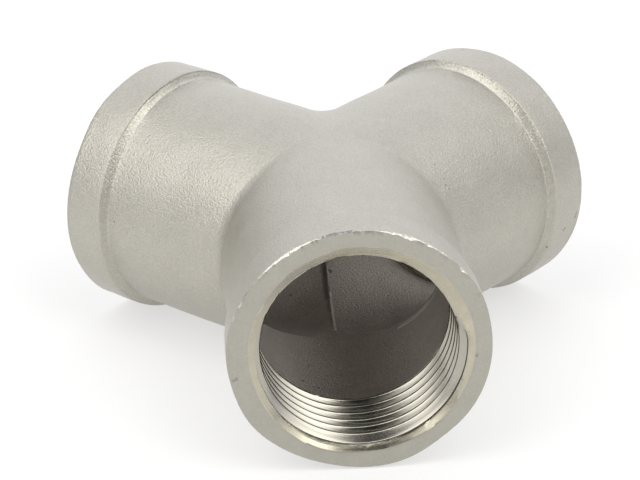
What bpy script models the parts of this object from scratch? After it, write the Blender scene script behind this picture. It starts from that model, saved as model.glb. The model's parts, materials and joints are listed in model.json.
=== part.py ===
"""A cast stainless steel Y fitting with three equal threaded sockets.

The body is one casting, and it is modelled as one solid. Each of its three
legs is the same turned wall section: barrel, shoulder, collar, mouth face,
lead-in chamfer, socket and cast passage. The legs meet in the middle, where
the barrels run into each other through cast fillets and the passages open
into each other at rounded creases.

The fitting lies on its three collars. +Z is up, the single leg points to the
front along -Y, and the origin is the middle of the footprint.
"""

import math

import bmesh
import bpy
from mathutils import Matrix, Vector

# Layout, in metres and degrees
CENTRE_TO_FACE = 0.0318
REAR_SPREAD = 90.0

# Socket, a G 3/4 parallel pipe thread
THREAD_MAJOR_RADIUS = 0.0132205
THREAD_PITCH = 0.001814
THREAD_LENGTH = 0.0111
LEAD_IN_OVERSIZE = 0.00053
LEAD_IN_SLOPE = 30.0

# Walls and steps, each measured out from the thread or the passage
COLLAR_WALL = 0.00278
COLLAR_LENGTH = 0.00565
SHOULDER_LENGTH = 0.0008
PASSAGE_RELIEF = 0.00003
PASSAGE_STEP_LENGTH = 0.0009
BARREL_WALL = 0.00179

# Rounds and fillets
SHOULDER_ROUND = 0.0005
RIM_ROUND = 0.00035
PASSAGE_STEP_ROUND = 0.0004
CROTCH_FILLET = 0.0050
FRONT_FILLET = 0.0032
CROTCH_CREASE = 0.00055
FRONT_CREASE = 0.0009

# Facets
FACETS_IN_TURN = 64
FACETS_PER_ROUND = 2
FACETS_PER_FILLET = 4
FACETS_PER_CREASE = 2

# Sizes that follow from the ones above
WHITWORTH_DEPTH = 0.640327
SOCKET_RADIUS = THREAD_MAJOR_RADIUS - WHITWORTH_DEPTH * THREAD_PITCH
LEAD_IN_RADIUS = THREAD_MAJOR_RADIUS + LEAD_IN_OVERSIZE
LEAD_IN_DEPTH = (LEAD_IN_RADIUS - SOCKET_RADIUS) * math.tan(math.radians(LEAD_IN_SLOPE))
COLLAR_RADIUS = THREAD_MAJOR_RADIUS + COLLAR_WALL
PASSAGE_RADIUS = THREAD_MAJOR_RADIUS + PASSAGE_RELIEF
BARREL_RADIUS = PASSAGE_RADIUS + BARREL_WALL
COLLAR_START = CENTRE_TO_FACE - COLLAR_LENGTH
SHOULDER_START = COLLAR_START - SHOULDER_LENGTH
LEAD_IN_END = CENTRE_TO_FACE - LEAD_IN_DEPTH
THREAD_END = CENTRE_TO_FACE - THREAD_LENGTH
PASSAGE_START = THREAD_END - PASSAGE_STEP_LENGTH

# The legs' bearings in plan, counter-clockwise from the front one, and the
# fillet and the passages' crease between each leg and the next
BEARINGS = (-90.0, 90.0 - REAR_SPREAD / 2, 90.0 + REAR_SPREAD / 2)
FILLETS = (FRONT_FILLET, CROTCH_FILLET, FRONT_FILLET)
CREASES = (FRONT_CREASE, CROTCH_CREASE, FRONT_CREASE)

WELD = 1e-6
SHARP_ANGLE = math.radians(30)


def clear_scene():
    for thing in list(bpy.data.objects):
        bpy.data.objects.remove(thing, do_unlink=True)


def cast_steel():
    """Bead-blasted stainless steel."""
    material = bpy.data.materials.new("cast_steel")
    material.use_nodes = True
    shader = material.node_tree.nodes["Principled BSDF"]
    shader.inputs["Base Color"].default_value = (0.52, 0.50, 0.47, 1.0)
    shader.inputs["Metallic"].default_value = 1.0
    shader.inputs["Roughness"].default_value = 0.42
    material.diffuse_color = (0.52, 0.50, 0.47, 1.0)
    return material


def rounded_corner(before, corner, after, radius):
    """The points of an arc that rounds a corner of an outline, or the sharp corner itself."""
    if radius == 0:
        return [corner]
    back = (before - corner).normalized()
    ahead = (after - corner).normalized()
    half = back.angle(ahead) / 2
    centre = corner + (back + ahead).normalized() * radius / math.sin(half)
    first = corner + back * radius / math.tan(half) - centre
    turn = first.angle_signed(corner + ahead * radius / math.tan(half) - centre)
    points = []
    for step in range(FACETS_PER_ROUND + 1):
        angle = -turn * step / FACETS_PER_ROUND
        points.append(centre + Matrix.Rotation(angle, 2) @ first)
    return points


def wall_section():
    """The turned outline as (distance from the centre, radius), from barrel over mouth to passage."""
    corners = (
        (SHOULDER_START, BARREL_RADIUS, SHOULDER_ROUND),
        (COLLAR_START, COLLAR_RADIUS, SHOULDER_ROUND),
        (CENTRE_TO_FACE, COLLAR_RADIUS, RIM_ROUND),
        (CENTRE_TO_FACE, LEAD_IN_RADIUS, 0),
        (LEAD_IN_END, SOCKET_RADIUS, 0),
        (THREAD_END, SOCKET_RADIUS, 0),
        (PASSAGE_START, PASSAGE_RADIUS, PASSAGE_STEP_ROUND),
    )
    places = [Vector((along, radius)) for along, radius, _ in corners]
    places = [Vector((0, BARREL_RADIUS)), *places, Vector((0, PASSAGE_RADIUS))]
    outline = []
    for index, (_, _, radius) in enumerate(corners):
        outline += rounded_corner(*places[index : index + 3], radius)
    return outline


def turn_leg(bm, section, place):
    """Spins the wall section once round the leg's axis."""
    outline = []
    for along, radius in section:
        outline.append(bm.verts.new(place @ Vector((along, 0, radius))))
    edges = [bm.edges.new(pair) for pair in zip(outline, outline[1:])]
    bmesh.ops.spin(
        bm,
        geom=outline + edges,
        cent=(0, 0, 0),
        axis=place @ Vector((1, 0, 0)),
        angle=math.tau,
        steps=FACETS_IN_TURN,
        use_merge=True,
    )


def around_leg():
    """The angles of the facets' corners, from the crown towards the leg's left."""
    return [math.tau * step / FACETS_IN_TURN for step in range(FACETS_IN_TURN)]


def turned_ring(along, radius):
    """An end of the turned part as points (along the leg, to its left, up)."""
    return [
        Vector((along, radius * math.sin(angle), radius * math.cos(angle)))
        for angle in around_leg()
    ]


def seam_ring(radius, left_seam, right_seam, share):
    """One ring of the stretch where a leg's skin turns into its neighbours' skins.

    In plan, at each height, the skin follows an arc that is tangent to the
    leg and to its neighbour. The arc shrinks towards the crown with the
    sine of the angle round the leg, as a rolling ball's fillet does. A share
    of 0 lies midway between the legs, and 1 lies where the arc leaves the leg.
    """
    ring = []
    for angle in around_leg():
        half_angle, fillet = left_seam if math.sin(angle) > 0 else right_seam
        swept = (math.pi / 2 - half_angle) * (1 - share)
        along = (radius + fillet) / math.tan(half_angle) - fillet * math.sin(swept)
        aside = radius + fillet - fillet * math.cos(swept)
        up = radius * math.cos(angle)
        ring.append(Vector((along * abs(math.sin(angle)), aside * math.sin(angle), up)))
    return ring


def loft(bm, rings, place):
    """Skins over rings that have the same number of points."""
    rows = [[bm.verts.new(place @ point) for point in ring] for ring in rings]
    for row, following in zip(rows, rows[1:]):
        for index in range(len(row)):
            ahead = (index + 1) % len(row)
            bm.faces.new((row[index], following[index], following[ahead], row[ahead]))


def loft_seams(bm, radius, seams, facets, station, place):
    """Lofts a barrel or a passage from the seams with its neighbours to its turned part."""
    rings = [seam_ring(radius, *seams, step / facets) for step in range(facets + 1)]
    loft(bm, [*rings, turned_ring(*station)], place)


def half_angle_after(leg):
    """Half the angle in plan between a leg and the next one."""
    following = BEARINGS[(leg + 1) % len(BEARINGS)]
    return math.radians((following - BEARINGS[leg]) % 360) / 2


def fillet_after(leg):
    """The cast fillet to the next leg, no larger than the barrel has room for."""
    room = (SHOULDER_START - SHOULDER_ROUND) * math.tan(half_angle_after(leg))
    return min(FILLETS[leg], room - BARREL_RADIUS)


def build_leg(bm, leg):
    place = Matrix.Rotation(math.radians(BEARINGS[leg]), 4, "Z")
    section = wall_section()
    turn_leg(bm, section, place)
    seams = (leg, (leg - 1) % len(BEARINGS))
    fillets = [(half_angle_after(seam), fillet_after(seam)) for seam in seams]
    loft_seams(bm, BARREL_RADIUS, fillets, FACETS_PER_FILLET, section[0], place)
    creases = [(half_angle_after(seam), CREASES[seam]) for seam in seams]
    loft_seams(bm, PASSAGE_RADIUS, creases, FACETS_PER_CREASE, section[-1], place)


def footprint_middle(bm):
    """The middle of the space that the casting takes, at its lowest point."""
    low = [min(vert.co[axis] for vert in bm.verts) for axis in range(3)]
    high = [max(vert.co[axis] for vert in bm.verts) for axis in range(3)]
    return Vector(((low[0] + high[0]) / 2, (low[1] + high[1]) / 2, low[2]))


def build_fitting():
    bm = bmesh.new()
    for leg in range(len(BEARINGS)):
        build_leg(bm, leg)
    bmesh.ops.remove_doubles(bm, verts=bm.verts, dist=WELD)
    bmesh.ops.dissolve_degenerate(bm, edges=bm.edges, dist=WELD)
    bmesh.ops.recalc_face_normals(bm, faces=bm.faces)
    middle = footprint_middle(bm)
    mesh = bpy.data.meshes.new("y_fitting")
    bm.to_mesh(mesh)
    bm.free()
    mesh.shade_smooth()
    mesh.set_sharp_from_angle(angle=SHARP_ANGLE)
    mesh.materials.append(cast_steel())
    fitting = bpy.data.objects.new("y_fitting", mesh)
    fitting.location = -middle
    bpy.context.scene.collection.objects.link(fitting)


clear_scene()
build_fitting()
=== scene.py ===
"""The looks of a cast stainless steel Y pipe fitting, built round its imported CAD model.

The casting stands for the plain solid: the same legs, fillets and creases at a
finer grain, with cut threads, ground mouths and the slight unevenness of cast
and blasted steel. Lengths are in metres and angles in radians.
"""

import json
import math

import bmesh
import bpy
from bpy.props import FloatProperty, FloatVectorProperty, IntProperty, PointerProperty
from mathutils import Matrix, Vector, noise


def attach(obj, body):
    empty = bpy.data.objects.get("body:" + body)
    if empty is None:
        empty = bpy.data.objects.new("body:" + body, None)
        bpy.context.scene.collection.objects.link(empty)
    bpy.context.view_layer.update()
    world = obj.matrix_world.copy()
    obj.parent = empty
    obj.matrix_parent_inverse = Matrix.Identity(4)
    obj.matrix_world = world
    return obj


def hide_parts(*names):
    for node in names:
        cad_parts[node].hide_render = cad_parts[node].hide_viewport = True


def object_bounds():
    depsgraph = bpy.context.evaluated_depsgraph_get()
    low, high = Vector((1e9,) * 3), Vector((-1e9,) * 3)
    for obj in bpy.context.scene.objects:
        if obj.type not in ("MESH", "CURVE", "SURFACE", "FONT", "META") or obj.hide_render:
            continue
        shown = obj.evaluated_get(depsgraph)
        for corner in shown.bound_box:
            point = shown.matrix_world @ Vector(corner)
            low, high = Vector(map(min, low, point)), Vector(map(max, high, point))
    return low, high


bl_info = {
    "name": "Cast Pipe Y Fitting",
    "version": (1, 0, 0),
    "blender": (4, 5, 0),
    "location": "3D View > Sidebar > Y Fitting",
    "description": "Builds a cast stainless steel Y fitting with cut threads, and a soft studio",
    "category": "Add Mesh",
}

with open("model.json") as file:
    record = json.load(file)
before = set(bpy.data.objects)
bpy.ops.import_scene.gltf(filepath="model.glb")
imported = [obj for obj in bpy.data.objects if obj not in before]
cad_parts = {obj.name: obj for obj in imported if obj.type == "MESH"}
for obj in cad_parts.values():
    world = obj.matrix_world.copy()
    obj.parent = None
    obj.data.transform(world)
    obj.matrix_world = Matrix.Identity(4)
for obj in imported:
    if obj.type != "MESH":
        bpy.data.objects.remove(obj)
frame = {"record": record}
cad_low, cad_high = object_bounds()

CAD_NODE = "y_fitting"
BODY = "root"

# The casting's skins, in the order of its material slots
OUTSIDE, RIM, FACE, CHAMFER, THREAD, PASSAGE = range(6)

# Whitworth thread form, as shares of the pitch, and its flank angle
THREAD_DEPTH = 0.640327
THREAD_ROUND = 0.137329
FLANK_ANGLE = math.radians(27.5)
STEPS_PER_THREAD_ROUND = 4

# How many times finer the columns are along a mouth's rim
RIM_FINENESS = 3

# How far the rim's finer columns reach along the collar and over the face, and the width of the
# faces that join them to the coarser ones
RIM_MARGIN = 0.0008
FAN_WIDTH = 0.0001

# Rings in each stretch of a leg's skin
CORNER_STEPS = 4
FILLET_STEPS = 12
BARREL_STEPS = 16
COLLAR_STEPS = 7
FACE_STEPS = 3
PASSAGE_STEPS = 16
CREASE_STEPS = 4

WELD = 2e-7
SHARP_ANGLE = math.radians(38)


def length(name, description, default):
    return FloatProperty(name=name, description=description, default=default, unit="LENGTH", precision=5)


def angle(name, description, degrees):
    turn = math.radians(degrees)
    return FloatProperty(name=name, description=description, default=turn, unit="ROTATION")


def colour(name, description, default):
    return FloatVectorProperty(name=name, description=description, default=default, subtype="COLOR")


def share(name, description, default, highest=1.0):
    return FloatProperty(
        name=name, description=description, default=default, min=0, max=highest, subtype="FACTOR"
    )


class FittingSizes(bpy.types.PropertyGroup):
    """The fitting's sizes that its box and mounts don't give"""

    rear_spread: angle("Rear spread", "Angle between the two rear legs", 90)
    thread_major: length("Thread radius", "Major radius of the threads", 0.0132205)
    thread_pitch: length("Thread pitch", "From one turn to the next", 0.001814)
    thread_length: length("Thread length", "From the mouth to the last turn", 0.0111)
    thread_start: length("Thread start", "From a leg's mouth to a crest at its crown", 0.00098)
    lead_in: length("Lead-in", "How far the mouth's chamfer is wider than the thread", 0.00053)
    lead_in_slope: angle("Lead-in slope", "Slope of the mouth's chamfer from its face", 30)
    lead_in_offset: length("Lead-in offset", "How far the chamfer runs off the leg's axis", 0.00012)
    fin: length("Fin", "Thinnest fin left standing between a chamfer and a groove", 0.0004)
    groove_start: angle("Groove start", "Where the first groove has its full depth, from the crown", 88)
    collar_length: length("Collar length", "From the mouth to the shoulder", 0.00565)
    shoulder_length: length("Shoulder length", "From the collar to the barrel", 0.0008)
    barrel_wall: length("Barrel wall", "From the passage to the barrel's skin", 0.00179)
    passage_relief: length("Passage relief", "How far the passage is wider than the thread", 0.00003)
    passage_step: length("Passage step", "Length of the step from thread to passage", 0.0009)
    crotch_fillet: length("Crotch fillet", "Fillet between the rear legs", 0.0050)
    front_fillet: length("Front fillet", "Fillet between the front leg and a rear one", 0.0032)
    crotch_crease: length("Crotch crease", "Round where the rear passages meet", 0.00055)
    front_crease: length("Front crease", "Round where the front passage meets a rear one", 0.0009)
    shoulder_round: length("Shoulder round", "Rounds of the turned shoulder", 0.00022)
    cast_round: length("Cast round", "Rounds of the shoulder where it is as cast", 0.0007)
    undercut: length("Undercut", "Depth of the tool's line under the collar's edge", 0.00009)
    columns: IntProperty(name="Columns", description="Facets in a turn round a leg", default=192)


class CastingFinish(bpy.types.PropertyGroup):
    """The unevenness and the colours of the casting"""

    undulation: length("Undulation", "How far the cast skin wanders from true", 0.00007)
    undulation_span: length("Undulation span", "Distance between its swells", 0.006)
    rim_width: length("Rim width", "Width of the bright edge of a mouth", 0.000025)
    rim_wear: length("Rim wear", "How much wider that edge is where it is worn", 0.00026)
    rim_chips: length("Rim chips", "How much wider chips make that edge", 0.00010)
    steel: colour("Blasted steel", "Colour of the outside", (0.505, 0.487, 0.434))
    face_steel: colour("Ground steel", "Colour of the mouths' faces", (0.433, 0.418, 0.366))
    turned_steel: colour("Turned steel", "Colour of the turned shoulders", (0.47, 0.456, 0.40))
    chamfer_steel: colour("Chamfered steel", "Colour of the mouths' chamfers", (0.49, 0.455, 0.365))
    # Fresh steel is also the colour of the painted highlights along the passages' creases and the
    # shoulders' feet
    fresh_and_highlight_steel: colour("Fresh steel", "Colour of worn and torn edges", (0.63, 0.61, 0.555))
    burnished_steel: colour("Burnished steel", "Colour of a chamfer's bright parts", (0.66, 0.62, 0.49))
    dull_steel: colour("Dull steel", "Colour of edges that were rubbed dull", (0.25, 0.245, 0.235))
    bright_steel: colour("Cut steel", "Colour of the threads", (0.445, 0.425, 0.37))
    raw_steel: colour("Raw steel", "Colour of the passages", (0.385, 0.345, 0.30))
    steel_roughness: share("Outside roughness", "Roughness of the blasted skin", 0.42)
    turned_roughness: share("Turned roughness", "Roughness of the turned shoulders", 0.38)
    rim_roughness: share("Edge roughness", "Roughness of worn and torn edges", 0.34)
    face_roughness: share("Face roughness", "Roughness of the mouths' faces", 0.36)
    chamfer_roughness: share("Chamfer roughness", "Roughness of the mouths' chamfers", 0.20)
    thread_roughness: share("Thread roughness", "Roughness of the threads", 0.18)
    raw_roughness: share("Passage roughness", "Roughness of the passages", 0.55)


class StudioSettings(bpy.types.PropertyGroup):
    """The camera, the floor and the light"""

    azimuth: angle("Azimuth", "Bearing of the camera from the front", -5.212)
    elevation: angle("Elevation", "Height of the camera above the horizon", 24.954)
    roll: angle("Roll", "Turn of the camera round its own axis", -0.660)
    distance: length("Distance", "From the camera to where the legs meet", 0.48597)
    shift_right: length("Shift right", "Camera's offset to its right", -0.001824)
    shift_up: length("Shift up", "Camera's offset upwards", 0.000064)
    lens: FloatProperty(name="Lens", description="Focal length in millimetres", default=214.15)
    floor_size: length("Floor size", "Side of the square floor", 4.0)
    floor_white: share("Floor white", "How pale the floor is", 0.40)
    floor_lift: share("Floor lift", "How much paler the floor shows than it is lit", 0.56)
    horizon: share("Horizon", "Brightness of the room at the horizon", 0.27, 2.0)
    room: share("Room", "Brightness of the room's walls and ceiling", 0.40, 2.0)
    left_box: share("Left box", "Brightness of the soft box on the left", 2.07, 5.0)
    right_box: share("Right box", "Brightness of the soft box on the right", 2.42, 5.0)
    low_light: share("Low light", "Brightness of the small soft light low on the right", 0.5, 2.0)
    far_wall: share("Far wall", "Brightness of the lit wall behind the object", 0.88, 2.0)


def mouths():
    """The junction of the legs and the distance to their mouths, from the three mounts."""
    mounts = frame["record"]["mounts"]
    axes = [Vector(mount["axis"]) for mount in mounts]
    reaches = [axis.dot(Vector(mount["pos_m"])) for axis, mount in zip(axes, mounts)]
    planes = Matrix([(axis.x, axis.y, 1) for axis in axes])
    x, y, _ = planes.inverted() @ Vector(reaches)
    junction = Vector((x, y, (cad_low.z + cad_high.z) / 2))
    return junction, junction.y - cad_low.y


JUNCTION, CENTRE_TO_FACE = mouths()
COLLAR_RADIUS = (cad_high.z - cad_low.z) / 2

# Which way each leg's chamfer runs off its axis
CHAMFER_LEAN = [math.radians(lean) for lean in (60, 200, 310)]


def clamp(value, low=0.0, high=1.0):
    return min(max(value, low), high)


def on_leg(along, radius, turn):
    """A point (along the leg, to its left, up) by its radius and its angle from the crown."""
    return Vector((along, radius * math.sin(turn), radius * math.cos(turn)))


def ring_of(turns, profile):
    """A ring through one point (along, radius) for each angle."""
    return [on_leg(*profile(turn), turn) for turn in turns]


class Leg:
    """One leg's place, its seams with its neighbours, and the radii of its walls."""

    def __init__(self, sizes, number):
        spread = sizes.rear_spread
        bearings = (-math.pi / 2, (math.pi - spread) / 2, (math.pi + spread) / 2)
        fillets = (sizes.front_fillet, sizes.crotch_fillet, sizes.front_fillet)
        creases = (sizes.front_crease, sizes.crotch_crease, sizes.front_crease)
        self.number = number
        self.place = Matrix.Translation(JUNCTION) @ Matrix.Rotation(bearings[number], 4, "Z")
        self.fillets = []
        self.creases = []
        for seam in (number, (number - 1) % 3):
            between = (bearings[(seam + 1) % 3] - bearings[seam]) % math.tau
            self.fillets.append((between / 2, fillets[seam]))
            self.creases.append((between / 2, creases[seam]))
        self.columns = sizes.columns
        self.socket = sizes.thread_major - THREAD_DEPTH * sizes.thread_pitch
        self.chamfer = sizes.thread_major + sizes.lead_in
        self.chamfer_slope = math.tan(sizes.lead_in_slope)
        self.chamfer_offset = sizes.lead_in_offset
        self.passage = sizes.thread_major + sizes.passage_relief
        self.barrel = self.passage + sizes.barrel_wall
        self.collar_start = CENTRE_TO_FACE - sizes.collar_length
        self.shoulder_start = self.collar_start - sizes.shoulder_length
        self.thread_end = CENTRE_TO_FACE - sizes.thread_length
        self.passage_start = self.thread_end - sizes.passage_step

    def around(self, fineness=1):
        """The angles of the columns, from the crown towards the leg's left."""
        count = self.columns * fineness
        return [math.tau * column / count for column in range(count)]

    def mouth(self, turn):
        """The radius of the chamfer at the face; its circle runs a little off the axis."""
        wander = bumps(turn, FRONT_MOUTH) if self.number == 0 else 0.0
        offset = self.chamfer_offset * math.cos(turn - CHAMFER_LEAN[self.number])
        return self.chamfer + wander + offset

    def chamfer_radius(self, along, turn):
        return self.mouth(turn) - (CENTRE_TO_FACE - along) / self.chamfer_slope

    def turned_ring(self, along, radius):
        return ring_of(self.around(), lambda turn: (along, radius))

    def seam_ring(self, radius, seams, part):
        """A ring where the skin turns into its neighbours'.

        A part of 0 lies in their mitre, and a part of 1 where the skin is straight.
        In plan, at each height, the skin follows an arc that is tangent to both
        legs and shrinks towards the crown as a rolling ball's fillet does.
        """
        ring = []
        for turn in self.around():
            half_angle, fillet = seams[0] if math.sin(turn) > 0 else seams[1]
            swept = (math.pi / 2 - half_angle) * (1 - part)
            along = (radius + fillet) / math.tan(half_angle) - fillet * math.sin(swept)
            aside = radius + fillet - fillet * math.cos(swept)
            up = radius * math.cos(turn)
            ring.append(Vector((along * abs(math.sin(turn)), aside * math.sin(turn), up)))
        return ring


def between_rings(first, last, steps):
    """Evenly spaced rings after the first one, up to and with the last."""
    return [
        [start.lerp(end, step / steps) for start, end in zip(first, last)]
        for step in range(1, steps + 1)
    ]


def rounded_corner(before, corner, after, radius):
    """The points of an arc that rounds a corner of an outline."""
    back = (before - corner).normalized()
    ahead = (after - corner).normalized()
    half = back.angle(ahead) / 2
    centre = corner + (back + ahead).normalized() * radius / math.sin(half)
    first = corner + back * radius / math.tan(half) - centre
    turn = first.angle_signed(corner + ahead * radius / math.tan(half) - centre)
    swings = [-turn * step / CORNER_STEPS for step in range(CORNER_STEPS + 1)]
    return [centre + Matrix.Rotation(swing, 2) @ first for swing in swings]


def waver(turn, ripples, seed):
    """A smooth, closed wave round a leg, between about -1 and 1."""
    return noise.noise(Vector((math.cos(turn), math.sin(turn), 0)) * ripples + Vector((0, 0, seed)))


def hump(turn, middle, width):
    """A bell of height 1 round one angle of a turn."""
    off = math.remainder(turn - middle, math.tau)
    return math.exp(-((off / width) ** 2))


# Each row of a table of bumps gives a middle and a half width in degrees from the crown, and then a
# share, or a depth in metres that is outward where it is positive.

# How the front mouth was ground
FRONT_GROUND = (
    (196, 24, -0.00042), (141, 14, -0.00030), (236, 14, 0.00020), (276, 16, 0.00024), (66, 10, 0.00016),
)

# How its chamfer wanders
FRONT_MOUTH = (
    (88, 26, 0.00011), (137, 11, 0.00015), (206, 17, 0.00017), (254, 16, -0.00015), (300, 16, -0.00011),
    (356, 13, 0.00014), (180, 9, -0.00009),
)

# Where its first crest leans inward
FRONT_CREST = ((280, 22, 0.00013), (66, 12, 0.00010), (340, 12, 0.00010))

# Where the fin between its chamfer and its first groove is thin
FRONT_THIN = ((170, 22, 0.38),)

# How far the grinding of the rear mouths wanders
REAR_GROUND = 0.00016


def ground_off(leg, turn):
    """How far a mouth's rim stands out from the true circle."""
    if leg.number == 0:
        return bumps(turn, FRONT_GROUND)
    return REAR_GROUND * (waver(turn, 1.6, 7.0 * leg.number) - 0.6)


def turned_share(turn):
    """How crisp a shoulder is: turned clean on its upper half, and nearly as cast on its lower one."""
    return 0.3 + 0.7 * clamp((math.cos(turn) - 0.02) / 0.2)


def bright_share(turn):
    """Where a turned shoulder is bright: round its crown, and a little round its lowest point."""
    return clamp((math.cos(turn) - 0.45) / 0.35) + 0.4 * clamp((-math.cos(turn) - 0.6) / 0.35)


# Where the points of a shoulder's slope lie, how many points its foot has, and which point was cut deeper
SLOPE_PARTS = (0.35, 0.65, 0.84, 0.92, 1.0)
FOOT_POINTS = CORNER_STEPS + 1
UNDERCUT_POINT = FOOT_POINTS + 3

# The crisp line at a shoulder's foot and the tool's deepest cut, as bumps on both sides of the crown
FOOT_LINE = ((110, 16, 1.0),)
DEEP_UNDERCUT = ((15, 10, 1.5),)


def shoulder_outline(leg, corner_round):
    """The shoulder as (along, radius), from the barrel to the collar."""
    outline = [
        Vector((0, leg.barrel)),
        Vector((leg.shoulder_start, leg.barrel)),
        Vector((leg.collar_start, COLLAR_RADIUS)),
        Vector((CENTRE_TO_FACE, COLLAR_RADIUS)),
    ]
    foot = rounded_corner(*outline[:3], corner_round)
    top = rounded_corner(*outline[1:], corner_round)
    slope = [foot[-1].lerp(top[0], part) for part in SLOPE_PARTS]
    return [*foot, *slope, *top[1:]]


def shoulder_rings(leg, sizes):
    """The shoulder's rings, crisp where it was turned and soft where it is as cast."""
    crisp = shoulder_outline(leg, sizes.shoulder_round)
    soft = shoulder_outline(leg, sizes.cast_round)
    rings = []
    for number, (turned, cast) in enumerate(zip(crisp, soft)):
        ring = []
        for turn in leg.around():
            off_crown = abs(math.remainder(turn, math.tau))
            crispness = turned_share(turn)
            if number < FOOT_POINTS:
                crispness = max(crispness, bumps(off_crown, FOOT_LINE))
            along, radius = cast.lerp(turned, crispness)
            if number == UNDERCUT_POINT:
                deeper = 1 + bumps(off_crown, DEEP_UNDERCUT)
                radius -= sizes.undercut * bright_share(turn) * deeper
            ring.append(on_leg(along, radius, turn))
        rings.append(ring)
    return rings


def outside_rings(leg, sizes):
    """The barrel from its seams with its neighbours to the shoulder."""
    parts = [step / FILLET_STEPS for step in range(FILLET_STEPS + 1)]
    rings = [leg.seam_ring(leg.barrel, leg.fillets, part) for part in parts]
    shoulder = shoulder_rings(leg, sizes)
    return [*rings, *between_rings(rings[-1], shoulder[0], BARREL_STEPS), *shoulder[1:]]


def collar_radius(leg, along, turn):
    """The collar's radius, ground a little out of true towards the mouth."""
    start = leg.collar_start
    part = max(along - start, 0.0) / (CENTRE_TO_FACE - start)
    return COLLAR_RADIUS + ground_off(leg, turn) * part ** 1.5


def collar_rings(leg, sizes):
    """The collar's skin up to where the rim's finer columns start."""
    first = leg.collar_start + sizes.cast_round
    last = CENTRE_TO_FACE - RIM_MARGIN
    rings = []
    for step in range(COLLAR_STEPS + 1):
        along = first + (last - first) * step / COLLAR_STEPS
        rings.append(ring_of(leg.around(), lambda turn: (along, collar_radius(leg, along, turn))))
    return rings


# Where the front mouth's edge is worn wide, where it is dull, and where it is chipped
FRONT_WORN = (
    (-35, 12, 1.1), (23, 13, 1.2), (40, 6, 0.4), (51, 2, 1.6), (-9, 9, 1.0), (-64, 2, 0.7),
    (-71, 1.5, 0.7), (63, 2, 0.5),
)
FRONT_DULL = ((-9, 8, 1.4),)
FRONT_CHIPPED = ((-9, 13, 1.0), (-60, 8, 0.5), (60, 12, 0.4))


def bumps(turn, places):
    """The sum of the bells that a table gives round a turn."""
    return sum(
        height * hump(turn, math.radians(middle), math.radians(width))
        for middle, width, height in places
    )


def worn(leg, turn):
    """How worn a mouth's edge is, from 0 to about 1."""
    if leg.number == 0:
        return bumps(turn, FRONT_WORN) * max(0.0, 0.9 + 0.9 * waver(turn, 22.0, 3.0))
    return max(0.0, 0.3 + 1.5 * waver(turn, 2.0, 11.0 * leg.number))


def chipped(leg, turn, seed):
    """How far chips eat into a mouth's edge, from 0 to about 1."""
    much = 0.15 + bumps(turn, FRONT_CHIPPED) if leg.number == 0 else 0.4
    long_bite = max(0.0, waver(turn, 24.0, seed))
    short_bite = max(0.0, waver(turn, 80.0, seed + 9.0))
    return much * (1.6 * long_bite + 1.2 * short_bite)


# How much narrower the worn edge is on the face than on the collar, and how far it bulges between them
FACE_SIDE = 0.8
EDGE_BULGE = 0.00002


def rim_rings(leg, finish):
    """The rim's finer columns, from the collar over the worn edge to the face."""
    seed = 3.0 + 17.0 * leg.number
    turns = leg.around(RIM_FINENESS)

    def width(turn, side):
        lost = finish.rim_wear * worn(leg, turn) + finish.rim_chips * chipped(leg, turn, side)
        return finish.rim_width + lost

    def on_collar(turn):
        along = CENTRE_TO_FACE - width(turn, seed)
        return along, collar_radius(leg, along, turn)

    def on_face(turn):
        radius = collar_radius(leg, CENTRE_TO_FACE, turn)
        return CENTRE_TO_FACE, radius - FACE_SIDE * width(turn, seed + 31.0)

    def between(turn):
        outer, inner = Vector(on_collar(turn)), Vector(on_face(turn))
        middle = outer.lerp(inner, 0.5)
        dent = finish.rim_chips * 0.9 * chipped(leg, turn, seed + 47.0) - EDGE_BULGE
        return middle.x - dent, middle.y - dent

    start = CENTRE_TO_FACE - RIM_MARGIN + FAN_WIDTH
    return [
        ring_of(turns, lambda turn: (start, collar_radius(leg, start, turn))),
        ring_of(turns, on_collar),
        ring_of(turns, between),
        ring_of(turns, on_face),
        ring_of(turns, lambda turn: (CENTRE_TO_FACE, COLLAR_RADIUS - RIM_MARGIN)),
    ]


def face_rings(leg):
    """The flat face, from the rim's finer columns to the chamfer."""
    outer = leg.turned_ring(CENTRE_TO_FACE, COLLAR_RADIUS - RIM_MARGIN - FAN_WIDTH)
    inner = ring_of(leg.around(), lambda turn: (CENTRE_TO_FACE, leg.mouth(turn)))
    return [outer, *between_rings(outer, inner, FACE_STEPS)]


def thread_outline(sizes, leg):
    """One turn's outline as (along, radius), from a crest's middle to the next one's."""
    pitch = sizes.thread_pitch
    bend = THREAD_ROUND * pitch
    swing = math.pi / 2 - FLANK_ANGLE
    parts = [step / STEPS_PER_THREAD_ROUND for step in range(STEPS_PER_THREAD_ROUND + 1)]
    steps = [swing * (2 * part - 1) for part in parts]
    crest = [(bend * math.sin(at), leg.socket + bend * (1 - math.cos(at))) for at in steps]
    major = sizes.thread_major
    root = [(pitch / 2 + bend * math.sin(at), major - bend * (1 - math.cos(at))) for at in steps]
    flank_up = tuple((a + b) / 2 for a, b in zip(crest[-1], root[0]))
    next_crest = (crest[0][0] + pitch, crest[0][1])
    flank_down = tuple((a + b) / 2 for a, b in zip(root[-1], next_crest))
    return [*crest, flank_up, *root, flank_down]


# The first groove's depth as a share of the thread's, how much shallower it starts, over which angle
# it deepens, and how far back from its root, in pitches, its turn and its bright land reach
FIRST_GROOVE_DEPTH = 0.9
SHALLOWER_START = 0.45
START_FADE = math.radians(22)
FIRST_TURN = 0.85
FIRST_LAND = 0.7

# How far a crest's lean reaches up its flanks
CREST_REACH = 0.0006

# How steeply a torn fin falls to its groove, and the step that is left there
TORN_SLOPE = 5
TORN_STEP = 0.00001


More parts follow.
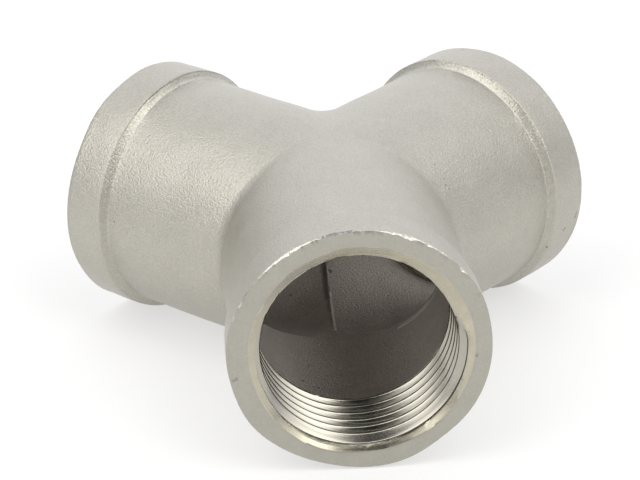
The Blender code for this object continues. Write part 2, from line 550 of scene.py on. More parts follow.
def torn_fin(leg, sizes, turn, groove):
    """The wall left where the thin fin between the chamfer and a groove tore off."""
    flank = math.tan(FLANK_ANGLE)
    slope = leg.chamfer_slope
    middle = (sizes.thread_major + leg.socket) / 2
    ragged = 0.3 * waver(turn, 12.0, 3.0 + leg.number) + 0.12 * waver(turn, 60.0, 8.0)
    fin = sizes.fin * (1 + ragged)
    if leg.number == 0:
        fin *= 1 - bumps(turn, FRONT_THIN)
    reach = fin - (CENTRE_TO_FACE - groove) + sizes.thread_pitch / 4
    torn = (reach + middle * flank + leg.mouth(turn) * slope) / (flank + slope)
    root = leg.socket + FIRST_GROOVE_DEPTH * (sizes.thread_major - leg.socket)
    torn = min(torn, root + TORN_STEP)
    return lambda along: torn - max(groove - along, 0.0) * TORN_SLOPE


def socket_walls(leg, sizes, turn):
    """The walls that cut into the thread's form: the chamfer, the step and the torn fins."""
    step_slope = (leg.passage - leg.socket) / sizes.passage_step
    groove = first_root(sizes, turn)
    return (
        lambda along: leg.chamfer_radius(along, turn),
        lambda along: leg.passage - (along - leg.passage_start) * step_slope,
        torn_fin(leg, sizes, turn, groove),
        torn_fin(leg, sizes, turn, groove - sizes.thread_pitch),
    )


def snap_to_corners(column, walls):
    """Cuts a column of the thread's form by its walls. The point nearest to each corner moves onto it."""
    heights = [[radius, *(wall(along) for wall in walls)] for along, radius in column]
    points = [(along, max(height)) for (along, _), height in zip(column, heights)]
    free = 0
    for index in range(len(column) - 1):
        here, onward = heights[index], heights[index + 1]
        before, after = here.index(max(here)), onward.index(max(onward))
        if before == after:
            continue
        gap, next_gap = here[before] - here[after], onward[before] - onward[after]
        part = gap / (gap - next_gap)
        corner = Vector(column[index]).lerp(Vector(column[index + 1]), part)
        height = here[before] + (onward[before] - here[before]) * part
        nearest = max(index if part < 0.5 else index + 1, free)
        points[nearest] = (corner.x, height)
        free = nearest + 1
    return points


def first_root(sizes, turn):
    """How far along a leg the middle of the thread's first groove lies."""
    pitch = sizes.thread_pitch
    return CENTRE_TO_FACE - (sizes.thread_start + turn / math.tau * pitch + pitch / 2) % pitch


def worn_thread(leg, sizes, along, radius, turn):
    """A radius of the thread's form, changed in the first turn.

    The groove starts shallow there, and the crest leans in.
    """
    if along < first_root(sizes, turn) - FIRST_TURN * sizes.thread_pitch:
        return radius
    start = clamp((sizes.groove_start - turn) / START_FADE)
    depth = radius - leg.socket
    shallow = leg.socket + depth * (FIRST_GROOVE_DEPTH - SHALLOWER_START * start)
    if leg.number == 0:
        shallow -= bumps(turn, FRONT_CREST) * (1 - min(depth / CREST_REACH, 1.0))
    return shallow


def socket_column(leg, sizes, outline, turn):
    """One column of the socket, from its step to its mouth, as (along, radius)."""
    low, high = leg.passage_start, CENTRE_TO_FACE
    pitch = sizes.thread_pitch
    crown = high - sizes.thread_start
    column = []
    for number in range(math.floor((low - high) / pitch) - 1, 2):
        for offset, radius in outline:
            along = crown + (number - turn / math.tau) * pitch + offset
            column.append((along, worn_thread(leg, sizes, along, radius, turn)))
    points = snap_to_corners(column, socket_walls(leg, sizes, turn))
    ends = ((low, leg.passage), (high, leg.mouth(turn)))
    for index, (along, _) in enumerate(points):
        if along <= low:
            points[index] = ends[0]
        elif along >= high:
            points[index] = ends[1]
    return points


def thread_rings(leg, sizes):
    """The socket from its step to its mouth, as rings that climb one pitch in a turn."""
    outline = thread_outline(sizes, leg)
    columns = []
    for turn in leg.around():
        column = socket_column(leg, sizes, outline, turn)
        columns.append([on_leg(along, radius, turn) for along, radius in column])
    return list(zip(*columns)), -len(outline)


# How near its corners have to be for a face to lie on the chamfer or on a torn fin
NEAR_CHAMFER = 2e-6
NEAR_FIN = 4e-6


def socket_finish(leg, sizes, corners):
    """The finish of the chamfer, of a torn fin or of the thread, by what a face's corners lie on."""
    off_chamfer = off_fins = 0.0
    for point in corners:
        turn = math.atan2(point.y, point.z)
        radius = math.hypot(point.y, point.z)
        chamfer, _, *fins = socket_walls(leg, sizes, turn)
        off_chamfer = max(off_chamfer, abs(radius - chamfer(point.x)))
        off_fins = max(off_fins, min(abs(radius - fin(point.x)) for fin in fins))
    if off_chamfer < NEAR_CHAMFER:
        return CHAMFER
    return RIM if off_fins < NEAR_FIN else THREAD


def passage_rings(leg, sizes):
    """The cast passage from its step to its creases with its neighbours."""
    rings = [leg.turned_ring(leg.passage_start, leg.passage)]
    rings += between_rings(rings[0], leg.seam_ring(leg.passage, leg.creases, 1), PASSAGE_STEPS)
    for step in range(1, CREASE_STEPS + 1):
        rings.append(leg.seam_ring(leg.passage, leg.creases, 1 - step / CREASE_STEPS))
    return rings


def skin(bm, leg, rings, finish, climb=0):
    """Faces over rings, of one finish or of the one that a function gives for a face's corners.

    Past its last column a ring goes on in the one that is `climb` rings further on.
    """
    rows = [[(point, bm.verts.new(leg.place @ point)) for point in ring] for ring in rings]
    columns = len(rows[0])
    for number in range(len(rows) - 1):
        for column in range(columns):
            ahead = (column + 1) % columns
            onward = number + (climb if ahead == 0 else 0)
            if not 0 <= onward < len(rows) - 1:
                continue
            points, corners = zip(
                rows[number][column],
                rows[number + 1][column],
                rows[onward + 1][ahead],
                rows[onward][ahead],
            )
            bm.faces.new(corners).material_index = finish(points) if callable(finish) else finish


def fan(bm, leg, coarse, fine, finish):
    """Joins a ring to one whose columns are finer. Both rings run the same way round."""
    inner = [bm.verts.new(leg.place @ point) for point in coarse]
    outer = [bm.verts.new(leg.place @ point) for point in fine]
    times = len(outer) // len(inner)
    for column, corner in enumerate(inner):
        ahead = inner[(column + 1) % len(inner)]
        arc = [outer[(column * times + step) % len(outer)] for step in range(times + 1)]
        middle = times // 2
        faces = [(corner, *pair) for pair in zip(arc[:middle + 1], arc[1:middle + 1])]
        faces.append((corner, arc[middle], arc[middle + 1], ahead))
        faces += [(ahead, *pair) for pair in zip(arc[middle + 1:], arc[middle + 2:])]
        for corners in faces:
            bm.faces.new(corners).material_index = finish


def build_leg(bm, leg, sizes, finish):
    barrel = outside_rings(leg, sizes)
    collar = [barrel[-1], *collar_rings(leg, sizes)]
    rim = rim_rings(leg, finish)
    face = face_rings(leg)
    skin(bm, leg, barrel, OUTSIDE)
    skin(bm, leg, collar, OUTSIDE)
    fan(bm, leg, collar[-1], rim[0], OUTSIDE)
    skin(bm, leg, rim[:2], OUTSIDE)
    skin(bm, leg, rim[1:4], RIM)
    skin(bm, leg, rim[3:], FACE)
    fan(bm, leg, face[0], rim[-1], FACE)
    skin(bm, leg, face, FACE)
    thread, climb = thread_rings(leg, sizes)
    skin(bm, leg, thread, lambda points: socket_finish(leg, sizes, points), climb)
    skin(bm, leg, passage_rings(leg, sizes), PASSAGE)


# How near the fitting's top and foot the cast skin only wanders inward, and its swells' roughness,
# lacunarity and octaves
TOP_AND_FOOT = 0.0004
SWELLS = (1.0, 2.2, 3)


def make_uneven(bm, finish):
    """Lets the cast skins wander a little from true, and leaves the machined ones as they are."""
    bm.normal_update()
    moves = []
    for vert in bm.verts:
        skins = {face.material_index for face in vert.link_faces}
        if not skins <= {OUTSIDE} and not skins <= {PASSAGE}:
            continue
        at = vert.co / finish.undulation_span
        swell = noise.fractal(at, *SWELLS)
        if abs(vert.co.z - JUNCTION.z) > COLLAR_RADIUS - TOP_AND_FOOT:
            swell = -abs(swell)
        moves.append((vert, vert.normal * swell * finish.undulation))
    for vert, move in moves:
        vert.co += move


def keep_inside(bm):
    """Holds every point inside the CAD model's box."""
    for vert in bm.verts:
        vert.co = [clamp(vert.co[axis], cad_low[axis], cad_high[axis]) for axis in range(3)]


def feed(tree, socket, value):
    """Gives a socket a plain value, or links it to the socket that feeds it."""
    if isinstance(value, bpy.types.NodeSocket):
        tree.links.new(value, socket)
    else:
        socket.default_value = (*value, 1.0) if socket.type == "RGBA" else value


def put(tree, kind, inputs=(), **settings):
    """Adds a shader node with its settings and inputs."""
    node = tree.nodes.new("ShaderNode" + kind)
    for name, value in settings.items():
        setattr(node, name, value)
    for key, value in dict(inputs).items():
        feed(tree, node.inputs[key], value)
    return node


def calc(tree, operation, *values):
    """The result of a Math node."""
    return put(tree, "Math", enumerate(values), operation=operation).outputs[0]


def calc_vector(tree, operation, first, second):
    """The result of a Vector Math node."""
    key = "Scale" if operation == "SCALE" else 1
    result = "Value" if operation in ("DISTANCE", "DOT_PRODUCT") else "Vector"
    return put(tree, "VectorMath", {0: first, key: second}, operation=operation).outputs[result]


def ramp(tree, value, first, last, start, end):
    """A soft step from one value to another while the measure goes from first to last."""
    steps = {"Value": value, "From Min": first, "From Max": last, "To Min": start, "To Max": end}
    return put(tree, "MapRange", steps, interpolation_type="SMOOTHSTEP").outputs["Result"]


def blend(tree, mask, first, second):
    """A colour that goes from the first to the second with a mask."""
    return put(tree, "Mix", {0: mask, 6: first, 7: second}, data_type="RGBA").outputs[2]


def mask_of(tree, attribute):
    return put(tree, "Attribute", attribute_name=attribute).outputs["Fac"]


def here(tree):
    return put(tree, "TexCoord").outputs["Object"]


def use_group(tree, name, *values):
    """Adds a shared node group with its inputs in order, and hands back its outputs."""
    return put(tree, "Group", enumerate(values), node_tree=bpy.data.node_groups[name]).outputs


def new_group(name, inputs, outputs):
    """A shader node group with its sockets, and what goes into it and comes out of it."""
    group = bpy.data.node_groups.new(name, "ShaderNodeTree")
    for label, kind, default in inputs:
        socket = group.interface.new_socket(label, in_out="INPUT", socket_type="NodeSocket" + kind)
        socket.default_value = default
    for label, kind in outputs:
        group.interface.new_socket(label, in_out="OUTPUT", socket_type="NodeSocket" + kind)
    given, out = group.nodes.new("NodeGroupInput"), group.nodes.new("NodeGroupOutput")
    return group, given.outputs, out.inputs


# The grain's pits: how many there are to a grain, and their reach in their cells. And the part of the
# noise that makes its high spots.
PITS_TO_A_GRAIN = 0.37
PIT_REACH = 0.32
HIGH_SPOTS = {"From Min": 0.3, "From Max": 0.7}


def grain_group():
    """Blasted or cast grain: a height in metres and a mask of its high spots."""
    group, given, out = new_group(
        "Steel grain",
        [("Grains per metre", "Float", 3000.0), ("Depth", "Float", 0.00002), ("Pits", "Float", 0.3)],
        [("Height", "Float"), ("High spots", "Float")],
    )
    grains = {"Vector": here(group), "Scale": given["Grains per metre"]}
    fine = put(group, "TexNoise", {**grains, "Detail": 2.0, "Roughness": 0.6}).outputs["Fac"]
    grains["Scale"] = calc(group, "MULTIPLY", grains["Scale"], PITS_TO_A_GRAIN)
    cells = put(group, "TexVoronoi", {**grains, "Randomness": 1.0}).outputs["Distance"]
    pit = calc(group, "MULTIPLY", ramp(group, cells, 0.0, PIT_REACH, -1.0, 0.0), given["Pits"])
    height = calc(group, "MULTIPLY", calc(group, "ADD", fine, pit), given["Depth"])
    high = put(group, "MapRange", {"Value": fine, **HIGH_SPOTS})
    feed(group, out["Height"], height)
    feed(group, out["High spots"], high.outputs["Result"])


def mottle_group():
    """Slow changes of tone: a colour and a roughness, each about a middle one."""
    group, given, out = new_group(
        "Steel mottling",
        [
            ("Colour", "Color", (0.5, 0.5, 0.5, 1.0)),
            ("Roughness", "Float", 0.4),
            ("Amount", "Float", 0.1),
            ("Span", "Float", 0.006),
            ("High spots", "Float", 0.0),
            ("Sparkle", "Float", 0.0),
        ],
        [("Colour", "Color"), ("Roughness", "Float")],
    )
    clouds = {"Vector": here(group), "Scale": calc(group, "DIVIDE", 1.0, given["Span"])}
    cloud = put(group, "TexNoise", {**clouds, "Detail": 5.0, "Roughness": 0.62}).outputs["Fac"]
    amount = calc(group, "MULTIPLY", calc(group, "SUBTRACT", cloud, 0.5), given["Amount"])
    off_middle = calc(group, "SUBTRACT", given["High spots"], 0.5)
    sparkle = calc(group, "MULTIPLY", off_middle, given["Sparkle"])
    gain = calc(group, "ADD", calc(group, "MULTIPLY", amount, 2.0), 1.0)
    gain = calc(group, "ADD", gain, sparkle)
    feed(group, out["Colour"], calc_vector(group, "SCALE", given["Colour"], gain))
    feed(group, out["Roughness"], calc(group, "ADD", given["Roughness"], amount))


def turning_group():
    """Fine grooves left by a tool, one after another along a measure of the surface."""
    group, given, out = new_group(
        "Turning marks",
        [("Measure", "Float", 0.0), ("Feed", "Float", 0.0001), ("Depth", "Float", 0.000002)],
        [("Height", "Float")],
    )
    grooves = calc(group, "DIVIDE", given["Measure"], given["Feed"])
    marks = put(group, "TexNoise", {"W": grooves, "Scale": 1.0, "Detail": 3.0}, noise_dimensions="1D")
    feed(group, out["Height"], calc(group, "MULTIPLY", marks.outputs["Fac"], given["Depth"]))


def pit_group():
    """One round pit: a mask that is 1 in its middle and 0 past its reach."""
    group, given, out = new_group(
        "Steel pit",
        [("Place", "Vector", (0.0, 0.0, 0.0)), ("Reach", "Float", 0.0002)],
        [("Mask", "Float")],
    )
    off = calc_vector(group, "DISTANCE", here(group), given["Place"])
    part = calc(group, "DIVIDE", off, given["Reach"])
    feed(group, out["Mask"], ramp(group, part, 0.3, 1.0, 1.0, 0.0))


def line_group():
    """One line in plan on a passage's lower half: a mask that is 1 along it and 0 past its reach."""
    ends = [(end, "Vector", (0.0, 0.0, 0.0)) for end in ("Start", "End")]
    sockets = [*ends, ("Reach", "Float", 0.0002)]
    group, given, out = new_group("Steel line", sockets, [("Mask", "Float")])
    place = here(group)
    flat = calc_vector(group, "MULTIPLY", place, (1.0, 1.0, 0.0))
    off = calc_vector(group, "SUBTRACT", flat, given["Start"])
    run = calc_vector(group, "SUBTRACT", given["End"], given["Start"])
    along, whole = (calc_vector(group, "DOT_PRODUCT", way, run) for way in (off, run))
    part = calc(group, "MAXIMUM", calc(group, "DIVIDE", along, whole), 0.0)
    nearest = calc_vector(group, "SCALE", run, calc(group, "MINIMUM", part, 1.0))
    apart = calc(group, "DIVIDE", calc_vector(group, "DISTANCE", off, nearest), given["Reach"])
    height = put(group, "SeparateXYZ", {0: place}).outputs["Z"]
    lower = calc(group, "LESS_THAN", height, JUNCTION.z)
    mask = calc(group, "MULTIPLY", ramp(group, apart, 0.0, 1.0, 1.0, 0.0), lower)
    feed(group, out["Mask"], mask)


# Single pits: (place from the junction, reach, both in millimetres)
OUTSIDE_PITS = (
    ((13.88, -3.58, 8.61), 0.16),
    ((14.35, -3.61, 8.09), 0.18),
    ((13.69, -3.10, 9.24), 0.13),
    ((12.67, -2.02, 10.82), 0.14),
    ((31.04, 9.50, -4.65), 0.22),
    ((31.20, 9.60, -4.52), 0.20),
    ((31.33, 9.71, -4.40), 0.22),
    ((32.81, 10.85, -3.42), 0.22),
    ((32.91, 10.84, -3.05), 0.20),
    ((33.00, 10.82, -2.69), 0.16),
    ((28.69, 8.10, -6.29), 0.20),
    ((29.26, 9.05, -7.17), 0.14),
    ((-27.78, 6.62, 1.12), 0.17),
    ((26.60, 5.91, 3.62), 0.14),
)
PASSAGE_PITS = (
    ((-5.67, -15.32, -11.98), 0.30),
    ((-4.46, -10.40, -12.43), 0.28),
    ((-3.98, -10.13, -12.59), 0.18),
    ((-3.74, -16.09, -12.72), 0.20),
    ((-4.77, 10.68, -12.58), 0.30),
    ((0.53, 12.43, -10.235), 0.45),
)
FACE_PITS = (
    ((-14.93, -31.80, -2.82), 0.25),
    ((-15.15, -31.80, -2.94), 0.22),
    ((-15.42, -31.80, -3.06), 0.22),
    ((14.11, -31.80, -1.30), 0.30),
)

# Lines along the passages' lower creases: (start and end in plan from the junction, reach, both in
# millimetres, and share), where a highlight is painted and where shade is painted
PAINTED_CREASE_HIGHLIGHTS = (
    ((7.8, -4.3), (12.2, -6.1), 0.36, 0.9),
    ((8.1, -3.8), (11.4, -5.2), 0.24, 0.6),
    ((0.25, 9.0), (0.15, 1.0), 0.28, 1.0),
)
SHADED = (
    ((-0.3, 14.5), (-0.25, 8.0), 0.55, 0.85),
    ((-0.25, 8.0), (-0.2, 5.5), 0.42, 0.5),
    ((-0.2, 5.5), (-0.1, 3.0), 0.28, 0.25),
)

# Colour of a single pit, and its depth in metres
PIT_COLOUR = (0.12, 0.10, 0.08)
PIT_DEPTH = 0.00006

# Grain on each skin: grains per metre, depth in metres and share of pits
BLASTED_GRAIN = (4100.0, 0.0001, 0.35)
EDGE_GRAIN = (4000.0, 0.00006, 0.5)
FACE_GRAIN = (3000.0, 0.000012, 0.2)
BURR_GRAIN = (3400.0, 0.00011, 0.5)
CAST_GRAIN = (4200.0, 0.00007, 0.5)

# The tool's marks on each skin: feed and depth in metres
FACE_MARKS = (0.00012, 0.000006)
CHAMFER_MARKS = (0.00010, 0.000012)
CHAMFER_SCRATCHES = (0.00030, 0.00004)
THREAD_MARKS = (0.00008, 0.000012)

# The mottling of each skin: amount and span in metres
BLASTED_MOTTLING = (0.10, 0.004)
EDGE_MOTTLING = (0.2, 0.0012)
FACE_MOTTLING = (0.12, 0.003)
CHAMFER_MOTTLING = (0.22, 0.0016)
THREAD_MOTTLING = (0.10, 0.002)
CAST_MOTTLING = (0.22, 0.003)

# How strong the specks of the grain's high spots are on each skin
BLASTED_SPECKS = 0.19
EDGE_SPECKS = 0.5
FACE_SPECKS = 0.08
BURR_SPECKS = 1.3
CAST_SPECKS = 0.30

# How much stronger the specks and how much shallower the grain are where the blasted skin was turned
TURNED_CHANGE = 0.3

# How much coarser an edge's grain is where it is rough, and how narrow a burr is
COARSER_EDGE = 2.5
BURR_FALL = 3.0

# The tone of the passages' shaded lines
SHADED_TONE = 0.4

# How much rougher the thread is on its first land
ROUGHER_LAND = 0.07


def use_pits(tree, tint, height, pits, strength=0.7):
    """A colour and a height, darkened and lowered in single pits."""
    mask = 0.0
    for place, reach in pits:
        pit = use_group(tree, "Steel pit", JUNCTION + Vector(place) / 1000, reach / 1000)
        mask = calc(tree, "ADD", mask, pit["Mask"])
    mask = calc(tree, "MINIMUM", mask, 1.0)
    dark = blend(tree, calc(tree, "MULTIPLY", mask, strength), tint, PIT_COLOUR)
    return dark, calc(tree, "SUBTRACT", height, calc(tree, "MULTIPLY", mask, PIT_DEPTH))


def use_lines(tree, lines):
    """The mask of a table's lines."""
    most = 0.0
    for *ends, reach, part in lines:
        places = ((*(JUNCTION.xy + Vector(end) / 1000), 0.0) for end in ends)
        line = use_group(tree, "Steel line", *places, reach / 1000)
        most = calc(tree, "MAXIMUM", most, calc(tree, "MULTIPLY", line["Mask"], part))
    return most


def use_marks(tree, attribute, marks):
    return use_group(tree, "Turning marks", mask_of(tree, attribute), *marks)["Height"]


def use_burr(tree, height):
    """A height, roughened along torn edges, with the high spots and the strength of their specks."""
    narrow = calc(tree, "POWER", mask_of(tree, "burr"), BURR_FALL)
    grain = use_group(tree, "Steel grain", *BURR_GRAIN)
    height = calc(tree, "ADD", height, calc(tree, "MULTIPLY", grain["Height"], narrow))
    return height, grain["High spots"], calc(tree, "MULTIPLY", narrow, BURR_SPECKS)


def new_material(name):
    material = bpy.data.materials.new(name)
    material.use_nodes = True
    return material, material.node_tree


def set_shader(tree, looks):
    """Sets or links sockets of a material's shader by their names."""
    for label, value in looks.items():
        feed(tree, tree.nodes["Principled BSDF"].inputs[label], value)


def shade(tree, tint, roughness, mottling, height, high_spots, sparkle):
    """Gives a material its mottled and speckled colour, its roughness and its height."""
    mottle = use_group(tree, "Steel mottling", tint, roughness, *mottling, high_spots, sparkle)
    bump = put(tree, "Bump", {"Height": height, "Strength": 1.0, "Distance": 1.0})
    looks = {
        "Metallic": 1.0,
        "Base Color": mottle["Colour"],
        "Roughness": mottle["Roughness"],
        "Normal": bump.outputs["Normal"],
    }
    set_shader(tree, looks)


def blasted_steel(tree, finish):
    """Blasted steel, with the band of a turned shoulder and a painted highlight along its foot by their
    masks.
    """
    turned = mask_of(tree, "turned")
    tint = blend(tree, turned, finish.steel, finish.turned_steel)
    # A painted highlight along the edge at a shoulder's foot, by its mask
    tint = blend(tree, mask_of(tree, "burnish_and_highlight"), tint, finish.fresh_and_highlight_steel)
    smoother = calc(tree, "MULTIPLY", turned, finish.steel_roughness - finish.turned_roughness)
    roughness = calc(tree, "SUBTRACT", finish.steel_roughness, smoother)
    change = calc(tree, "MULTIPLY", turned, TURNED_CHANGE)
    grain = use_group(tree, "Steel grain", *BLASTED_GRAIN)
    tint, height = use_pits(tree, tint, grain["Height"], OUTSIDE_PITS)
    height = calc(tree, "MULTIPLY", height, calc(tree, "SUBTRACT", 1.0, change))
    specks = calc(tree, "ADD", change, BLASTED_SPECKS)
    shade(tree, tint, roughness, BLASTED_MOTTLING, height, grain["High spots"], specks)


def fresh_edge(tree, finish):
    """Worn and torn edges, rubbed dull and rough by their masks."""
    tint = blend(tree, mask_of(tree, "dull"), finish.fresh_and_highlight_steel, finish.dull_steel)
    grain = use_group(tree, "Steel grain", *EDGE_GRAIN)
    coarser = calc(tree, "ADD", calc(tree, "MULTIPLY", mask_of(tree, "burr"), COARSER_EDGE), 1.0)
    height = calc(tree, "MULTIPLY", grain["Height"], coarser)
    high = grain["High spots"]
    shade(tree, tint, finish.rim_roughness, EDGE_MOTTLING, height, high, EDGE_SPECKS)


def ground_face(tree, finish):
    grain = use_group(tree, "Steel grain", *FACE_GRAIN)
    height = calc(tree, "ADD", use_marks(tree, "from_axis", FACE_MARKS), grain["Height"])
    tint, height = use_pits(tree, finish.face_steel, height, FACE_PITS, 0.25)
    high = grain["High spots"]
    shade(tree, tint, finish.face_roughness, FACE_MOTTLING, height, high, FACE_SPECKS)


def cut_chamfer(tree, finish):
    """The mouth's chamfer, with its rough and its burnished parts by their masks."""
    rough = mask_of(tree, "dull")
    tint = blend(tree, rough, finish.chamfer_steel, finish.dull_steel)
    tint = blend(tree, mask_of(tree, "burnish_and_highlight"), tint, finish.burnished_steel)
    marks = use_marks(tree, "from_axis", CHAMFER_MARKS)
    scratches = calc(tree, "MULTIPLY", use_marks(tree, "from_axis", CHAMFER_SCRATCHES), rough)
    burred = use_burr(tree, calc(tree, "ADD", marks, scratches))
    shade(tree, tint, finish.chamfer_roughness, CHAMFER_MOTTLING, *burred)


def cut_thread(tree, finish):
    rougher = calc(tree, "MULTIPLY", mask_of(tree, "dull"), ROUGHER_LAND)
    roughness = calc(tree, "ADD", rougher, finish.thread_roughness)
    burred = use_burr(tree, use_marks(tree, "across", THREAD_MARKS))
    shade(tree, finish.bright_steel, roughness, THREAD_MOTTLING, *burred)


def raw_cast_steel(tree, finish):
    """The passages' skin, with painted highlights and painted shade along their lower creases."""
    # Painted highlights along the passages' lower creases, and painted shade beside them
    shaded = [SHADED_TONE * part for part in finish.raw_steel]
    tint = blend(tree, use_lines(tree, PAINTED_CREASE_HIGHLIGHTS), finish.raw_steel, finish.fresh_and_highlight_steel)
    tint = blend(tree, use_lines(tree, SHADED), tint, shaded)
    grain = use_group(tree, "Steel grain", *CAST_GRAIN)
    tint, height = use_pits(tree, tint, grain["Height"], PASSAGE_PITS)
    high = grain["High spots"]
    shade(tree, tint, finish.raw_roughness, CAST_MOTTLING, height, high, CAST_SPECKS)


# In the order of the skins; each material is named after the function that dresses it
MATERIALS = (blasted_steel, fresh_edge, ground_face, cut_chamfer, cut_thread, raw_cast_steel)

# Where the front mouth's torn edges are rough, and where its chamfer is rough and bright
FRONT_BURR = ((195, 45, 1.0), (318, 30, 0.7))
ROUGH_CHAMFER = ((320, 26, 0.4),)
BRIGHT_CHAMFER = ((208, 12, 0.5), (147, 14, 1.0), (170, 9, 0.35), (80, 14, 0.3))


# How dull the front mouth's torn fins are, and its rim where it is not worn
DULL_FINS = 0.15
DULL_RIM = 0.72


def dulled(leg, radius, turn):
    """How dull a bright edge of the front mouth is: its worn rim by the table, its torn fins a little."""
    if radius < leg.mouth(turn):
        return DULL_FINS
    plain = DULL_RIM - 1.2 * bumps(turn, FRONT_WORN)
    return clamp(max(plain, bumps(turn, FRONT_DULL)) * (1 + 0.8 * waver(turn, 60.0, 21.0)))


def masks(skins, leg, sizes, along, radius, turn):
    """The masks of a point by the skins that meet there."""
    if skins == {OUTSIDE}:
        return shoulder_masks(leg, along, radius, turn)
    if skins == {THREAD}:
        land = first_root(sizes, turn % math.tau) - FIRST_LAND * sizes.thread_pitch
        return {"dull": along > land}
    found = {}
    if CHAMFER in skins and FACE not in skins and len(skins) > 1:
        found["burr"] = clamp(0.2 + bumps(turn, FRONT_BURR)) if leg.number == 0 else 0.5
    if leg.number == 0 and RIM in skins:
        found["dull"] = dulled(leg, radius, turn)
    elif leg.number == 0 and skins == {CHAMFER}:
        found["dull"] = clamp(bumps(turn, ROUGH_CHAMFER))
        found["burnish_and_highlight"] = clamp(bumps(turn, BRIGHT_CHAMFER))
    return found


# How far the masks reach past a shoulder's ends, the shares of its height at which its foot starts and
# its turned band starts and ends, and how strong the painted highlight along the foot is
SHOULDER_MARGIN = 0.0003
FOOT_FROM, BAND_FROM, BAND_TO = 0.01, 0.12, 0.93
FOOT_HIGHLIGHT = 0.7


def shoulder_masks(leg, along, radius, turn):
    """Where the skin is a shoulder's turned band, and where it has a painted highlight along the edge at
    its foot.
    """
    start, end = leg.shoulder_start - SHOULDER_MARGIN, leg.collar_start + SHOULDER_MARGIN
    bright = bright_share(turn)
    rise = (radius - leg.barrel) / (COLLAR_RADIUS - leg.barrel)
    if start < along < end and BAND_FROM < rise < BAND_TO:
        return {"turned": bright}
    # Along the edge at the foot: a painted highlight, strongest round the crown where the light falls
    if start < along < end and FOOT_FROM < rise <= BAND_FROM:
        return {"burnish_and_highlight": FOOT_HIGHLIGHT * bright}
    return {}


# How the measure across the thread's marks falls along a leg
ACROSS_FALL = 0.9


def measure(bm, sizes):
    """Stores what the finishes follow: measures across the tools' marks, and masks."""
    legs = [Leg(sizes, number) for number in range(3)]
    insides = [leg.place.inverted() for leg in legs]
    names = ("from_axis", "across", "burr", "turned", "burnish_and_highlight", "dull")
    layers = {name: bm.verts.layers.float.new(name) for name in names}
    for vert in bm.verts:
        places = [(inside @ vert.co, leg) for inside, leg in zip(insides, legs)]
        local, leg = max(places, key=lambda found: found[0].x)
        radius = math.hypot(local.y, local.z)
        turn = math.atan2(local.y, local.z)
        skins = {face.material_index for face in vert.link_faces}
        found = masks(skins, leg, sizes, local.x, radius, turn)
        for name, value in found.items():
            vert[layers[name]] = value
        vert[layers["from_axis"]] = radius
        vert[layers["across"]] = radius - ACROSS_FALL * local.x


class FITTING_OT_casting(bpy.types.Operator):
    """Build the casting with its threads and finishes"""

    bl_idname = "fitting.casting"
    bl_label = "Casting"

    def execute(self, context):
        sizes = context.scene.fitting_sizes
        finish = context.scene.fitting_finish
        bm = bmesh.new()
        for number in range(3):
            build_leg(bm, Leg(sizes, number), sizes, finish)
        bmesh.ops.remove_doubles(bm, verts=bm.verts, dist=WELD)
        bmesh.ops.dissolve_degenerate(bm, edges=bm.edges, dist=WELD)
        bmesh.ops.recalc_face_normals(bm, faces=bm.faces)
        make_uneven(bm, finish)
        keep_inside(bm)
        measure(bm, sizes)
        mesh = bpy.data.meshes.new("casting")
        bm.to_mesh(mesh)
        bm.free()
        mesh.shade_smooth()
        mesh.set_sharp_from_angle(angle=SHARP_ANGLE)
        for add_group in (grain_group, mottle_group, turning_group, pit_group, line_group):
            add_group()
        for dress in MATERIALS:
            material, tree = new_material(dress.__name__.replace("_", " "))
            dress(tree, finish)
            mesh.materials.append(material)
        casting = bpy.data.objects.new("casting", mesh)
        context.scene.collection.objects.link(casting)
        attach(casting, BODY)
        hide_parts(CAD_NODE)
        return {"FINISHED"}


def aim_camera(studio):
    back = direction(studio.azimuth, studio.elevation)
    level = back.to_track_quat("Z", "Y").to_matrix()
    turned = level @ Matrix.Rotation(studio.roll, 3, "Z")
    camera = bpy.data.objects.new("camera", bpy.data.cameras.new("camera"))
    camera.data.lens = studio.lens
    camera.data.clip_start = 0.01
    camera.matrix_world = turned.to_4x4()
    camera.location = (
        JUNCTION
        + back * studio.distance
        + turned.col[0] * studio.shift_right
        + turned.col[1] * studio.shift_up
    )
    bpy.context.scene.collection.objects.link(camera)
    bpy.context.scene.camera = camera


def lay_floor(studio):
    bm = bmesh.new()
    bmesh.ops.create_grid(bm, x_segments=1, y_segments=1, size=studio.floor_size / 2)
    mesh = bpy.data.meshes.new("floor")
    bm.to_mesh(mesh)
    bm.free()
    material, tree = new_material("white floor")
    rays = put(tree, "LightPath").outputs
    seen = calc(tree, "ADD", rays["Is Camera Ray"], rays["Is Glossy Ray"])
    seen = calc(tree, "ADD", seen, rays["Is Transmission Ray"])
    looks = {
        "Base Color": [studio.floor_white] * 3,
        "Roughness": 1.0,
        "Specular IOR Level": 0.0,
        "Emission Color": (1.0, 1.0, 1.0),
        "Emission Strength": calc(tree, "MULTIPLY", seen, studio.floor_lift),
    }
    set_shader(tree, looks)
    mesh.materials.append(material)
    floor = bpy.data.objects.new("floor", mesh)
    floor.location.z = cad_low.z
    bpy.context.scene.collection.objects.link(floor)


def direction(azimuth, elevation):
    """A unit vector by its bearing from the front, to the right, and its height, in radians."""
    flat = math.cos(elevation)
    return Vector((math.sin(azimuth) * flat, -math.cos(azimuth) * flat, math.sin(elevation)))


# The soft boxes, the far wall and the low light: (azimuth, elevation, inner and outer angle in degrees)
LEFT_BOX = (-53, 47, 8, 51)
RIGHT_BOX = (33, 47, 8, 43)
FAR_WALL = (166, 11, 8, 89)
LOW_LIGHT = (51, 6, 3, 16)

# The dark gap between the boxes: its middle, half width and soft edge in azimuth, and
# the elevations between which it starts and ends, in degrees
DARK_GAP = (-6, 19, 13)
DARK_GAP_FOOT = (17, 29)
DARK_GAP_TOP = (62, 77)

# The heights between which the room's light rises from the horizon's brightness to its walls'
ROOM_RISE = (0.0, 0.3)

# The colours of the room's light and of the boxes' light
ROOM_TINT = (0.99, 0.995, 1.03)
BOX_TINT = (1.01, 1.0, 0.965)


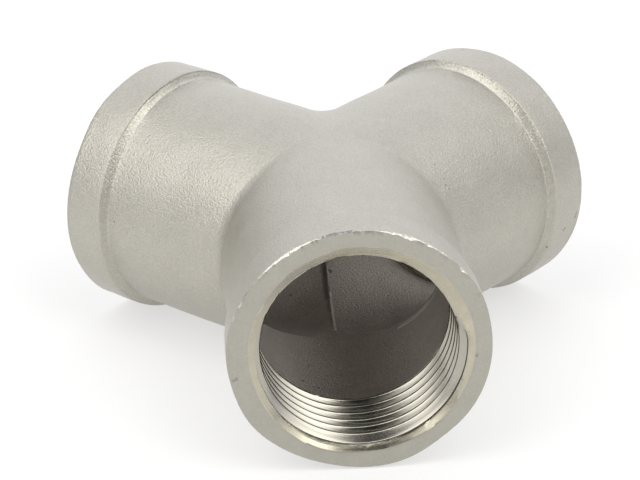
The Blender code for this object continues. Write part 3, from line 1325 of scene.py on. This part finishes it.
def soft_light(tree, way, place, strength):
    """The brightness of a round, soft light that is seen in the given direction."""
    azimuth, elevation, inner, outer = (math.radians(size) for size in place)
    toward = direction(azimuth, elevation)
    facing = calc_vector(tree, "DOT_PRODUCT", way, toward)
    return ramp(tree, facing, math.cos(outer), math.cos(inner), 0.0, strength)


def dark_gap(tree, x, y, z):
    """How dark the gap between the soft boxes is in a direction, from 0 to 1."""
    azimuth = calc(tree, "ARCTAN2", x, calc(tree, "MULTIPLY", y, -1.0))
    middle, half, edge = (math.radians(size) for size in DARK_GAP)
    off = calc(tree, "ABSOLUTE", calc(tree, "SUBTRACT", azimuth, middle))
    across = ramp(tree, off, half, half + edge, 1.0, 0.0)
    foot = ramp(tree, z, *(math.sin(math.radians(size)) for size in DARK_GAP_FOOT), 0.0, 1.0)
    top = ramp(tree, z, *(math.sin(math.radians(size)) for size in DARK_GAP_TOP), 1.0, 0.0)
    return calc(tree, "MULTIPLY", across, calc(tree, "MULTIPLY", foot, top))


def light_room(studio):
    """A pale room with two soft boxes and a dark gap between them."""
    world = bpy.data.worlds.new("white room")
    bpy.context.scene.world = world
    world.use_nodes = True
    tree = world.node_tree
    way = put(tree, "TexCoord").outputs["Generated"]
    x, y, z = put(tree, "SeparateXYZ", {0: way}).outputs
    room = ramp(tree, z, *ROOM_RISE, studio.horizon, studio.room)
    room = calc(tree, "ADD", room, soft_light(tree, way, FAR_WALL, studio.far_wall))
    room = calc(tree, "ADD", room, soft_light(tree, way, LOW_LIGHT, studio.low_light))
    left = soft_light(tree, way, LEFT_BOX, studio.left_box)
    boxes = calc(tree, "ADD", left, soft_light(tree, way, RIGHT_BOX, studio.right_box))
    lit = calc(tree, "SUBTRACT", 1.0, dark_gap(tree, x, y, z))
    parts = [
        calc_vector(tree, "SCALE", tint, calc(tree, "MULTIPLY", strength, lit))
        for tint, strength in ((ROOM_TINT, room), (BOX_TINT, boxes))
    ]
    feed(tree, tree.nodes["Background"].inputs["Color"], calc_vector(tree, "ADD", *parts))


class FITTING_OT_studio(bpy.types.Operator):
    """Set up the camera, the pale floor and the soft light"""

    bl_idname = "fitting.studio"
    bl_label = "Studio"

    def execute(self, context):
        studio = context.scene.fitting_studio
        aim_camera(studio)
        lay_floor(studio)
        light_room(studio)
        context.scene.view_settings.view_transform = "Standard"
        return {"FINISHED"}


class FITTING_PT_panel(bpy.types.Panel):
    """The fitting's operators"""

    bl_idname = "FITTING_PT_panel"
    bl_label = "Y Fitting"
    bl_space_type = "VIEW_3D"
    bl_region_type = "UI"
    bl_category = "Y Fitting"

    def draw(self, context):
        for operator in OPERATORS:
            self.layout.operator(operator.bl_idname)
        for group in ("fitting_sizes", "fitting_finish", "fitting_studio"):
            settings = getattr(context.scene, group)
            for name in settings.__annotations__:
                self.layout.prop(settings, name)


OPERATORS = (FITTING_OT_casting, FITTING_OT_studio)
CLASSES = (FittingSizes, CastingFinish, StudioSettings, *OPERATORS, FITTING_PT_panel)


def register():
    for item in CLASSES:
        bpy.utils.register_class(item)
    bpy.types.Scene.fitting_sizes = PointerProperty(type=FittingSizes)
    bpy.types.Scene.fitting_finish = PointerProperty(type=CastingFinish)
    bpy.types.Scene.fitting_studio = PointerProperty(type=StudioSettings)


def unregister():
    del bpy.types.Scene.fitting_sizes
    del bpy.types.Scene.fitting_finish
    del bpy.types.Scene.fitting_studio
    for item in reversed(CLASSES):
        bpy.utils.unregister_class(item)


def main():
    register()
    bpy.ops.fitting.casting()
    bpy.ops.fitting.studio()


if __name__ == "__main__":
    main()
